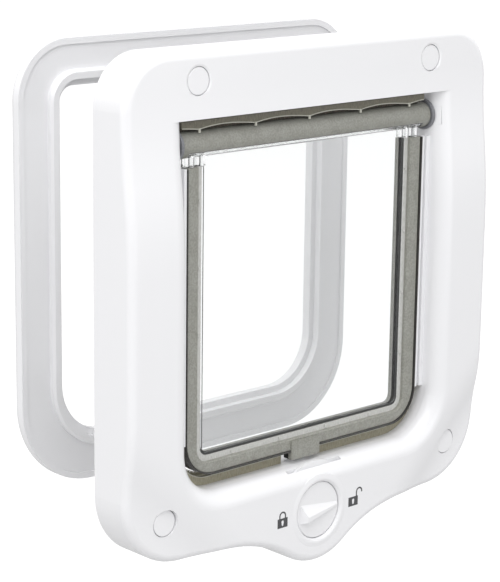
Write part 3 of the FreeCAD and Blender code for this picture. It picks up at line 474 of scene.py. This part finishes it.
class CATFLAP_OT_flap(bpy.types.Operator):
    """Finish the flap, its hinge and its magnets"""
    bl_idname = "cat_flap.flap"
    bl_label = "Flap"

    def rim(self, side, end, material):
        """Rounded rim round a bush's flange, just clear of the jamb."""
        low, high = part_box("hinge_bush_" + end)
        y, z = (low[1] + high[1]) / 2, (low[2] + high[2]) / 2
        inner = (high[2] - low[2]) / 2 + 0.02 * MM
        face = min(abs(low[0]), abs(high[0]))
        # Millimetres out from the flange's edge, and from its face towards the jamb.
        profile = [(0.0, 0.0), (0.6, 0.0), (0.85, 0.15), (0.95, 0.45), (0.95, 1.7), (0.0, 1.7)]
        mesh = bmesh.new()
        wire = closed_wire(mesh, [(side * (face + x * MM), y, z + inner + r * MM) for r, x in profile])
        bmesh.ops.spin(mesh, geom=wire, cent=(0, y, z), axis=(1, 0, 0), angle=2 * math.pi, steps=48,
                       use_merge=True)
        bmesh.ops.recalc_face_normals(mesh, faces=mesh.faces)
        new_piece("hinge_rim_" + end, mesh, material, "frame", "grey_plastic")

    def keeper(self, side, end, material):
        """White keeper that closes the notch in front of a bush and follows the jamb's rounded edge."""
        low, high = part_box("hinge_bush_" + end)
        middle = (low[2] + high[2]) / 2
        half = 4.7 * MM
        # X and Y in millimetres: along the jamb's rounded edge, and back along the notch.
        outline = [(88.35, -17.15), (88.45, -17.9), (88.7, -18.65), (89.05, -19.3), (89.5, -20.0),
                   (90.0, -20.65), (90.55, -21.25), (91.1, -21.7), (91.1, -17.15)]
        mesh = bmesh.new()
        base = mesh.faces.new([mesh.verts.new((side * x * MM, y * MM, middle - half)) for x, y in outline])
        made = bmesh.ops.extrude_face_region(mesh, geom=[base])["geom"]
        bmesh.ops.translate(mesh, verts=vertices(made), vec=(0, 0, 2 * half))
        bmesh.ops.recalc_face_normals(mesh, faces=mesh.faces)
        new_piece("hinge_keeper_" + end, mesh, material, "frame", "white_plastic")

    def execute(self, context):
        look = context.scene.cat_flap_finish
        finish(matt_abs("matt_grey_abs", look.grey, look.grey_dark), "front_flap_frame", "rear_flap_frame",
               "hinge_bar")
        bush = matt_abs("matt_blue_grey_acetal", look.bush, look.bush_dark)
        white = glossy_abs("gloss_white_keeper", look.white, look.white_roughness)
        finish(bush, "hinge_bush_left", "hinge_bush_right")
        for side, end in ((1, "right"), (-1, "left")):
            self.rim(side, end, bush)
            self.keeper(side, end, white)
        finish(clear_acrylic("clear_acrylic", look.clear), "clear_panel")
        finish(ferrite("ferrite", "#2b2b2d"), "flap_magnet", "sill_magnet")
        return {"FINISHED"}


class CATFLAP_OT_seals(bpy.types.Operator):
    """Make the draught seals: pile strips with a film edge, pegs and tufts"""
    bl_idname = "cat_flap.seals"
    bl_label = "Draught seals"

    def top(self, sizes, pile, shade, film):
        """Strip above the flap with a scalloped lower edge, and the tufted bed behind it."""
        low, high = (Vector(corner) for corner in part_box("top_seal"))
        low.x += sizes.gap_left
        high.x -= sizes.gap_right
        front = low[1] + 0.15 * MM
        knots = []      # the pegs' places along the strip
        x = high[0] - sizes.first
        while x > low[0] + 5 * MM:
            knots.append(x)
            x -= sizes.pitch
        first = knots[-1]

        def edge(x):
            """Height of the scalloped edge: lowest at the pegs."""
            part = ((x - first) / sizes.pitch) % 1.0
            return low[2] + sizes.drop + sizes.rise * abs(math.sin(math.pi * part ** 0.85))

        # The strip: a flat grid whose lower edge follows the scallops, under a rail.
        mesh = bmesh.new()
        bmesh.ops.create_grid(mesh, x_segments=96, y_segments=3, size=0.5)
        for vert in mesh.verts:
            x = (low[0] + high[0]) / 2 + vert.co.x * (high[0] - low[0])
            share = vert.co.y + 0.5
            vert.co = (x, front, edge(x) + share * (high[2] - 0.2 * MM - edge(x)))
        bmesh.ops.recalc_face_normals(mesh, faces=mesh.faces)
        bmesh.ops.solidify(mesh, geom=list(mesh.faces), thickness=0.9 * MM)
        block_shape(mesh, (low[0], front, high[2] - 1.4 * MM), (high[0], high[1], high[2]))
        # Painted shade: the strip takes the darker top-pile copy passed in as pile, for the frame's shadow
        # over it.
        new_piece("top_pile", mesh, pile, "frame", "pile", "top_seal")

        # The bed behind it, with two rows of tufts; its material, passed in as shade, is painted shade: a
        # dark pile with near-black between the tufts.
        mesh = bmesh.new()
        back = front + 2.6 * MM
        block_shape(mesh, (low[0], back, low[2] + 1.5 * MM), (high[0], high[1], high[2] - 1.4 * MM))
        step = 0
        x = low[0] + 0.6 * MM
        while x < high[0] - 0.6 * MM:
            lean = 0.15 * MM * math.sin(step * TUFT_SWAY)
            for row, tip in ((0.0, 2.4), (0.35, 1.3)):
                tuft(mesh, (x + row * MM, back + 0.3 * MM, low[2] + (tip + 2.4) * MM),
                     (x + row * MM + lean, back - 0.1 * MM + lean, low[2] + tip * MM), 0.45 * MM)
            x += sizes.tuft_gap
            step += 1
        new_piece("top_pile_bed", mesh, shade, "frame", "pile")

        # The welded edge and its pegs.
        count = 120
        spots = [low[0] + 0.3 * MM + (high[0] - low[0] - 0.6 * MM) * i / count for i in range(count + 1)]
        new_line("top_film_edge", [(x, front, edge(x)) for x in spots], 0.28 * MM, film, "frame")
        mesh = bmesh.new()
        for x in knots:
            block_shape(mesh, (x - 0.6 * MM, front - 0.1 * MM, low[2] + 0.1 * MM),
                        (x + 0.6 * MM, front + 0.7 * MM, low[2] + sizes.drop + 0.4 * MM), 0.15 * MM)
        new_piece("top_pegs", mesh, film, "frame", "pile")

    def strip(self, mesh, side, start, wall, floor, top, radius, reach, front, thickness):
        """Flat strip along the sill, round the corner and up the jamb, from its front face backwards."""
        centre = (side * (wall - radius), front, floor + radius)
        for inset in (0.05 * MM, reach):
            l_path(mesh, (side * start, front, floor + inset), (centre[0], front, floor + inset), centre,
                   (side * (wall - inset), front, top), 10)
        bmesh.ops.bridge_loops(mesh, edges=list(mesh.edges))
        bmesh.ops.recalc_face_normals(mesh, faces=mesh.faces)
        if sum(face.normal.y for face in mesh.faces) > 0:
            bmesh.ops.reverse_faces(mesh, faces=list(mesh.faces))
        bmesh.ops.solidify(mesh, geom=list(mesh.faces), thickness=thickness)

    def lower(self, side, end, sizes, pile, film):
        """Half of the lower seal: a thin fin behind the flap, and a thicker bed of pile in front of it."""
        low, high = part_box("bottom_seal_" + end)
        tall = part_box("side_seal_" + end)[1][2]
        wall = max(abs(low[0]), abs(high[0]))
        near = min(abs(low[0]), abs(high[0]))
        floor, front = low[2], low[1] + 0.15 * MM
        radius, reach = SILL_CORNER, 4.6 * MM

        def along(distance, inset):
            """A point on the strip, and the direction towards the passage, from the strip's lower end."""
            run = wall - radius - near
            turn = (radius - inset) * math.pi / 2
            if distance < run:
                return (near + distance, floor + inset), (0.0, 1.0)
            if distance < run + turn:
                angle = (distance - run) / (radius - inset)
                across, up = math.sin(angle), math.cos(angle)
                return ((wall - radius + (radius - inset) * across, floor + radius - (radius - inset) * up),
                        (-across, up))
            return (wall - inset, floor + radius + distance - run - turn), (-1.0, 0.0)

        # The fin, its tufts, longer round the corner, and a few that lean to the tab.
        mesh = bmesh.new()
        self.strip(mesh, side, near, wall, floor, tall, radius, reach, front, 0.95 * MM)
        length = wall - radius - near + (radius - reach) * math.pi / 2 + tall - floor - radius
        distance = 0.5 * MM
        step = 0
        while distance < length - 0.5 * MM:
            (x, z), (dx, dz) = along(distance, reach - 0.3 * MM)
            lean = 0.1 * MM * math.sin(step * TUFT_SWAY)
            nap = 2.0 * MM if dx < 0 and dz > 0 else 1.0 * MM
            for row in (0.35 * MM, 0.75 * MM):
                tuft(mesh, (side * x, front + row, z),
                     (side * (x + dx * nap), front + row + lean, z + dz * nap), 0.3 * MM)
            distance += sizes.tuft_gap
            step += 1
        for step in range(6):
            z = floor + (0.8 + 0.8 * step) * MM
            tuft(mesh, (side * (near + 0.4 * MM), front + 0.5 * MM, z),
                 (side * (near - 1.6 * MM), front + 0.6 * MM, z + 0.2 * MM), 0.45 * MM)
        if side < 0:
            bmesh.ops.recalc_face_normals(mesh, faces=mesh.faces)
        new_piece("lower_pile_" + end, mesh, pile, "frame", "pile", "bottom_seal_" + end, "side_seal_" + end)

        # The film that shows through the fin's pile as a slightly wavy line.
        line = []
        count = 90
        for i in range(count + 1):
            inset = 2.1 * MM + 0.55 * MM * math.sin(i * 0.42)
            (x, z), _ = along((length - 1.5 * MM) * i / count + 0.4 * MM, inset)
            line.append((side * x, front, z))
        new_line("lower_film_edge_" + end, line, 0.2 * MM, film, "frame")

        # The bed is thinner beside the tab, where the lock slide rises behind it.
        mesh = bmesh.new()
        bed, rise, first, thin = -12.0 * MM, 4.2 * MM, 17.9 * MM, 12.6 * MM
        last = floor + radius - 0.4 * MM
        self.strip(mesh, side, first, wall, floor, last, radius, rise, bed, 4.2 * MM)
        block_shape(mesh, (min(side * first, side * thin), bed, floor + 0.05 * MM),
                    (max(side * first, side * thin), bed + 1.1 * MM, floor + rise))
        line = []
        distance = thin - near + 0.2 * MM
        while distance < wall - radius - near + (radius - rise) * math.pi / 2 - 0.4 * MM:
            (x, z), (dx, dz) = along(distance, rise)
            line.append((side * x, bed, z))
            for row in (0.5 * MM, 1.3 * MM) if near + distance > first else (0.5 * MM,):
                tuft(mesh, (side * x, bed + row, z),
                     (side * (x + dx * 0.7 * MM), bed + row, z + dz * 0.7 * MM), 0.35 * MM)
            distance += sizes.tuft_gap
        if side < 0:
            bmesh.ops.recalc_face_normals(mesh, faces=mesh.faces)
        new_piece("lower_bed_" + end, mesh, pile, "frame", "pile")
        new_line("bed_film_edge_" + end, line, 0.25 * MM, film, "frame")

    def execute(self, context):
        look = context.scene.cat_flap_finish
        sizes = context.scene.cat_flap_seals
        pile = woven_pile("woven_pile", look.pile, look.pile_dark)
        film = woven_pile("film_edge", look.film, look.film)
        # Painted shade: a near-black sheet along the flap's edge stands for the shadow in the gap round the
        # flap.
        edge_shade_paint = woven_pile("black_edge_shade", look.edge_shade, look.edge_shade)
        finish(woven_pile("grey_gasket", look.gasket, look.gasket_tuft_shade), "panel_gasket")
        # Painted shade: the bed behind the top strip is a dark pile with the near-black edge colour between
        # its tufts.
        shade = woven_pile("woven_pile_deep", look.pile_deep_shaded, look.edge_shade)
        # Painted shade: the top strip's pile is a darker copy of the lower pile, for the frame's shadow over
        # it.
        shadow = woven_pile("woven_pile_top", look.pile_top_shaded, look.pile_top_dark)
        self.top(sizes, shadow, shade, film)
        self.lower(1, "right", sizes, pile, film)
        self.lower(-1, "left", sizes, pile, film)
        self.edge_shade(sizes, edge_shade_paint)
        return {"FINISHED"}

    def edge_shade(self, sizes, edge_shade_paint):
        """Near-black sheet of painted shade round the flap's outer edge, standing for the shadow in the gap
        there; open at the tab.
        """
        low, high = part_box("rear_flap_frame")
        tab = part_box("flap_magnet")[1][0] + 0.4 * MM
        reach, radius = high[0] + sizes.edge_shade, FLAP_CORNER + sizes.edge_shade
        foot = low[2] - sizes.edge_shade
        lip, depth = -17.45 * MM, 9.05 * MM
        mesh = bmesh.new()
        for side in (1, -1):
            centre = (side * (reach - radius), lip, foot + radius)
            l_path(mesh, (side * tab, lip, foot), (centre[0], lip, foot), centre,
                   (side * reach, lip, high[2]), 9)
        moved = bmesh.ops.extrude_edge_only(mesh, edges=list(mesh.edges))["geom"]
        bmesh.ops.translate(mesh, verts=vertices(moved), vec=(0, depth, 0))
        bmesh.ops.recalc_face_normals(mesh, faces=mesh.faces)
        for face in mesh.faces:
            middle = face.calc_center_median()
            if face.normal.dot(Vector((middle.x, 0, middle.z))) < 0:
                face.normal_flip()
        bmesh.ops.solidify(mesh, geom=list(mesh.faces), thickness=sizes.edge_shade - 0.04 * MM)
        new_piece("flap_edge_shade", mesh, edge_shade_paint, "flap", "pile")


class CATFLAP_OT_marks(bpy.types.Operator):
    """Print a closed and an open padlock beside the knob"""
    bl_idname = "cat_flap.marks"
    bl_label = "Padlock marks"

    def padlock(self, name, x, z, is_open, sizes, ink):
        """A padlock drawn flat about its body's centre, then stood on the frame's face."""
        wide, tall = sizes.width, sizes.height
        mesh = bmesh.new()
        outline = bmesh.ops.create_grid(mesh, x_segments=1, y_segments=1, size=0.5)["verts"]
        bmesh.ops.scale(mesh, verts=outline, vec=(wide, tall, 1))
        bmesh.ops.delete(mesh, geom=list(mesh.faces), context="FACES_ONLY")
        # A keyhole: a round hole with its lower points pulled down to a foot.
        hole = bmesh.ops.create_circle(mesh, cap_ends=False, segments=12, radius=tall * 0.17)["verts"]
        bmesh.ops.translate(mesh, verts=hole, vec=(0, tall * 0.12, 0))
        foot = [vert for vert in hole if vert.co.y < tall * 0.05]
        for vert in foot:
            vert.co.y -= tall * 0.26
            vert.co.x *= 0.75
        bmesh.ops.triangle_fill(mesh, use_beauty=True, edges=list(mesh.edges))
        # The bow: half a turn, with a leg at each end. The open one stands beside the body.
        outer, inner = wide * 0.34, wide * 0.22
        centre_x = wide * (0.5 + 0.12) if is_open else 0.0
        base = tall * 0.5 + tall * (0.42 if is_open else 0.25)
        ends = [mesh.verts.new((centre_x + r, base, 0)) for r in (inner, outer)]
        bar = mesh.edges.new(ends)
        bow = bmesh.ops.spin(mesh, geom=[*ends, bar], cent=(centre_x, base, 0), axis=(0, 0, 1), angle=math.pi,
                             steps=10)["geom_last"]
        far = [g for g in bow if isinstance(g, bmesh.types.BMEdge)]
        leg = base - tall * 0.49
        for edge, drop in ((bar, tall * 0.12 if is_open else leg), (far[0], leg)):
            made = bmesh.ops.extrude_edge_only(mesh, edges=[edge])["geom"]
            bmesh.ops.translate(mesh, verts=vertices(made), vec=(0, -drop, 0))
        bmesh.ops.recalc_face_normals(mesh, faces=mesh.faces)
        for facet in mesh.faces:
            if facet.normal.z < 0:
                facet.normal_flip()
        bmesh.ops.rotate(mesh, verts=mesh.verts, cent=(0, 0, 0), matrix=Matrix.Rotation(math.pi / 2, 3, "X"))
        bmesh.ops.translate(mesh, verts=mesh.verts, vec=(x, LOBE_FACE - sizes.thickness * 0.7, z))
        bmesh.ops.solidify(mesh, geom=list(mesh.faces), thickness=sizes.thickness)
        new_piece(name, mesh, ink, "frame", "white_plastic")

    def execute(self, context):
        look = context.scene.cat_flap_finish
        sizes = context.scene.cat_flap_marks
        ink = pad_ink("pad_ink", look.ink)
        low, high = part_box("lock_knob")
        z = (low[2] + high[2]) / 2 - 0.8 * MM
        self.padlock("closed_padlock_mark", -sizes.spacing, z, False, sizes, ink)
        self.padlock("open_padlock_mark", sizes.spacing - 1.2 * MM, z, True, sizes, ink)
        return {"FINISHED"}


class CATFLAP_OT_fixings(bpy.types.Operator):
    """Finish the screws and the hinge pins"""
    bl_idname = "cat_flap.fixings"
    bl_label = "Screws and pins"

    def execute(self, context):
        steel = zinc_steel("zinc_plated_steel", "#b9b8b2")
        names = [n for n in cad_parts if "screw" in n and "cap" not in n]
        finish(steel, "hinge_pin_left", "hinge_pin_right", *names)
        sizes = context.scene.cat_flap_threads
        core, start, end = 2.15 * MM, 1.2 * MM, 15.2 * MM
        turns = (end - start) / sizes.pitch
        steps = int(turns * 12)
        for name in [n for n in names if n.startswith("fixing_screw")]:
            low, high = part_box(name)
            x, z = (low[0] + high[0]) / 2, (low[2] + high[2]) / 2
            mesh = bmesh.new()
            ridge = [(core, 0.0), (core + sizes.crest, sizes.pitch * 0.25), (core, sizes.pitch * 0.5)]
            wire = closed_wire(mesh, [(x + r, start + y, z) for r, y in ridge])
            bmesh.ops.spin(mesh, geom=wire, cent=(x, 0, z), axis=(0, 1, 0),
                           dvec=(0, (end - start) / steps, 0), angle=2 * math.pi * turns, steps=steps)
            bmesh.ops.holes_fill(mesh, edges=mesh.edges, sides=3)
            bmesh.ops.recalc_face_normals(mesh, faces=mesh.faces)
            new_piece(name.replace("fixing_screw", "thread"), mesh, steel, "frame", "steel")
        return {"FINISHED"}


class CATFLAP_OT_stage(bpy.types.Operator):
    """Set up the floor, the light and the camera"""
    bl_idname = "cat_flap.stage"
    bl_label = "Stage"

    def execute(self, context):
        stage = context.scene.cat_flap_stage
        scene = context.scene
        mesh = bmesh.new()
        bmesh.ops.create_grid(mesh, x_segments=1, y_segments=1, size=6.0)
        bmesh.ops.translate(mesh, verts=mesh.verts, vec=(0, 0, -stage.floor_drop))
        data = bpy.data.meshes.new("floor")
        mesh.to_mesh(data)
        mesh.free()
        data.materials.append(painted_board("white_board", "#bcbcbc", "#f6f6f6", 0.9, stage.glow))
        floor = bpy.data.objects.new("floor", data)
        scene.collection.objects.link(floor)

        world = bpy.data.worlds.new("studio")
        world.use_nodes = True
        world.node_tree.nodes.clear()
        path = add(world, "ShaderNodeLightPath")
        seen = add(world, "ShaderNodeMath", {"operation": "MAXIMUM"},
                   links={0: path.outputs["Is Camera Ray"], 1: path.outputs["Is Transmission Ray"]})
        room = add(world, "ShaderNodeBackground",
                   inputs={"Color": (1.0, 1.0, 1.0, 1.0), "Strength": stage.room})
        wall = add(world, "ShaderNodeBackground", inputs={"Color": (1.0, 1.0, 1.0, 1.0), "Strength": 1.0})
        mix = add(world, "ShaderNodeMixShader",
                  links={0: seen.outputs["Value"], 1: room.outputs["Background"],
                         2: wall.outputs["Background"]})
        add(world, "ShaderNodeOutputWorld", links={"Surface": mix.outputs["Shader"]})
        scene.world = world
        scene.view_settings.view_transform = "Standard"

        # Name, place, point it faces, side of the square lamp and power.
        centre = (0.0, 0.0, 0.0)
        lights = [
            ("key", (-0.55, -0.58, 0.76), (0.0, 0.0, 0.06), 0.7, stage.key),
            ("top", (0.1, -0.1, 1.85), centre, 1.6, stage.top),
            ("fill", (0.5, -1.5, -0.1), centre, 0.9, stage.fill),
            ("side", (-1.55, -0.02, 0.5), centre, 1.2, stage.side),
        ]
        for name, place, aim, size, power in lights:
            lamp = bpy.data.lights.new(name, "AREA")
            lamp.size = size
            lamp.energy = power
            light = bpy.data.objects.new(name, lamp)
            light.location = place
            light.rotation_euler = (Vector(aim) - Vector(place)).to_track_quat("-Z", "Y").to_euler()
            scene.collection.objects.link(light)

        lens = bpy.data.cameras.new("camera")
        lens.lens = stage.lens
        lens.sensor_width = 36.0
        lens.sensor_fit = "AUTO"
        lens.clip_end = 30.0
        camera = bpy.data.objects.new("camera", lens)
        right = Vector((0.73186, -0.68134, 0.01266))
        up = Vector((0.14600, 0.17492, 0.97370))
        back = Vector((-0.66563, -0.71076, 0.22749))
        turn = Matrix((right, up, back)).transposed().to_4x4()
        camera.matrix_world = Matrix.Translation(Vector(stage.eye)) @ turn
        scene.collection.objects.link(camera)
        scene.camera = camera
        return {"FINISHED"}


class CATFLAP_PT_panel(bpy.types.Panel):
    """Lists the steps that dress the cat flap"""
    bl_label = "Cat flap"
    bl_idname = "CATFLAP_PT_panel"
    bl_space_type = "VIEW_3D"
    bl_region_type = "UI"
    bl_category = "Cat flap"

    def draw(self, context):
        for step in STEPS:
            self.layout.operator(step.bl_idname)


GROUPS = {"cat_flap_finish": CatFlapFinish, "cat_flap_marks": CatFlapMarks, "cat_flap_seals": CatFlapSeals,
          "cat_flap_threads": CatFlapThreads, "cat_flap_stage": CatFlapStage}
STEPS = (CATFLAP_OT_frames, CATFLAP_OT_collar, CATFLAP_OT_flap, CATFLAP_OT_seals, CATFLAP_OT_marks,
         CATFLAP_OT_fixings, CATFLAP_OT_stage)


def register():
    """Register the settings, the steps and the panel."""
    for group in GROUPS.values():
        bpy.utils.register_class(group)
    for step in STEPS:
        bpy.utils.register_class(step)
    bpy.utils.register_class(CATFLAP_PT_panel)
    for name, group in GROUPS.items():
        setattr(bpy.types.Scene, name, PointerProperty(type=group))


def unregister():
    """Take them all away again, in the opposite order."""
    for name in GROUPS:
        delattr(bpy.types.Scene, name)
    bpy.utils.unregister_class(CATFLAP_PT_panel)
    for step in reversed(STEPS):
        bpy.utils.unregister_class(step)
    for group in reversed(list(GROUPS.values())):
        bpy.utils.unregister_class(group)


def main():
    """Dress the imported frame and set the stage."""
    register()
    bpy.ops.cat_flap.frames()
    bpy.ops.cat_flap.collar()
    bpy.ops.cat_flap.flap()
    bpy.ops.cat_flap.seals()
    bpy.ops.cat_flap.marks()
    bpy.ops.cat_flap.fixings()
    bpy.ops.cat_flap.stage()


if __name__ == "__main__":
    main()
